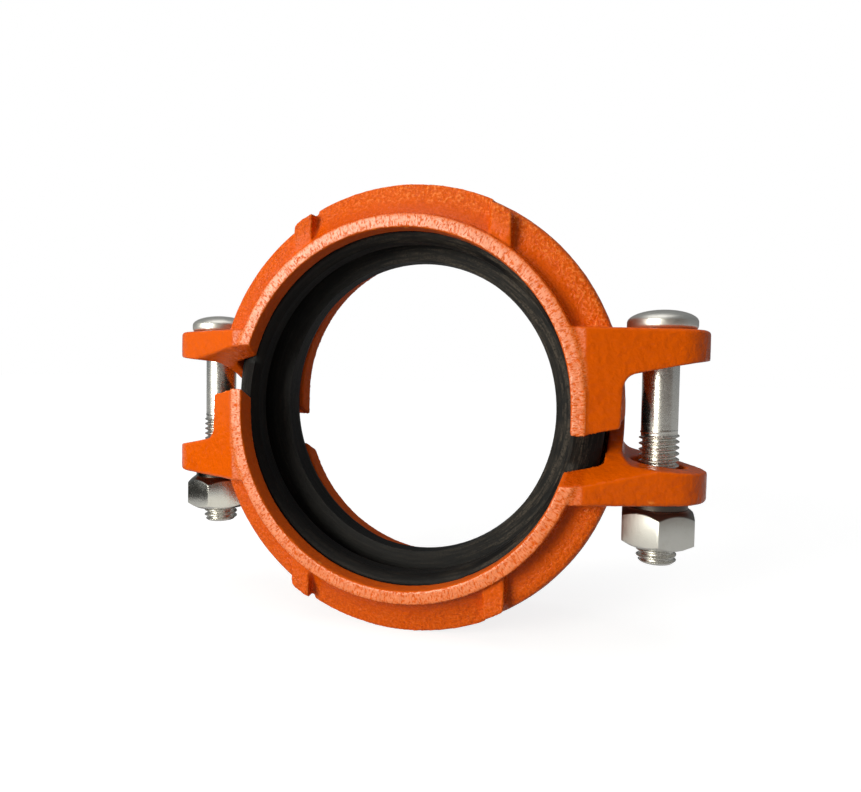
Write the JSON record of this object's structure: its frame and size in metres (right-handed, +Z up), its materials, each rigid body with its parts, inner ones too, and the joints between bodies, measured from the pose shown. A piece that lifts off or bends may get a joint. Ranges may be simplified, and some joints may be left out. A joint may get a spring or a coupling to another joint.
{
  "type": "grooved pipe coupling",
  "caption": "Ready-to-install rigid grooved pipe coupling: two cast housings with angled bolt pads around a rubber gasket, drawn together by track bolts and nuts.",
  "frame": {"origin": "on the pipe axis, half way between the two pipe ends, which is the centre of the coupling's box", "axes": "+Y along the pipe axis, +X towards the right-hand bolt seen from -Y, +Z up along the bolts towards their heads"},
  "size_m": [0.1986, 0.052, 0.152],
  "materials": {
    "housing_paint": "glossy orange enamel over pebbled cast iron",
    "gasket_rubber": "satin black moulded rubber",
    "bolt_zinc": "bright zinc plating",
    "nut_zinc": "satin zinc plating"
  },
  "bodies": {
    "lower": {"lower_housing": "housing_paint", "gasket": "gasket_rubber"},
    "upper": {"upper_housing": "housing_paint", "track_bolt_right": "bolt_zinc", "track_bolt_left": "bolt_zinc"},
    "nut_right": {"hex_nut_right": "nut_zinc"},
    "nut_left": {"hex_nut_left": "nut_zinc"}
  },
  "joints": [
    {"name": "housing_closing", "type": "slide", "parent": "lower", "child": "upper", "axis": [0, 0, -1], "range_m": [-0.0042, 0.00961], "deforming": ["gasket"]},
    {"name": "nut_right_turn", "type": "hinge", "parent": "lower", "child": "nut_right", "pos_m": [0.0845, 0, -0.0351], "axis": [0, 0, 1], "range_deg": [-775, 1772]},
    {"name": "nut_left_turn", "type": "hinge", "parent": "lower", "child": "nut_left", "pos_m": [-0.0845, 0, -0.0351], "axis": [0, 0, 1], "range_deg": [-775, 1772]}
  ],
  "couplings": [
    {"joint": "nut_right_turn", "follows": "housing_closing", "rad_per_m": 3215.8},
    {"joint": "nut_left_turn", "follows": "housing_closing", "rad_per_m": 3215.8}
  ]
}
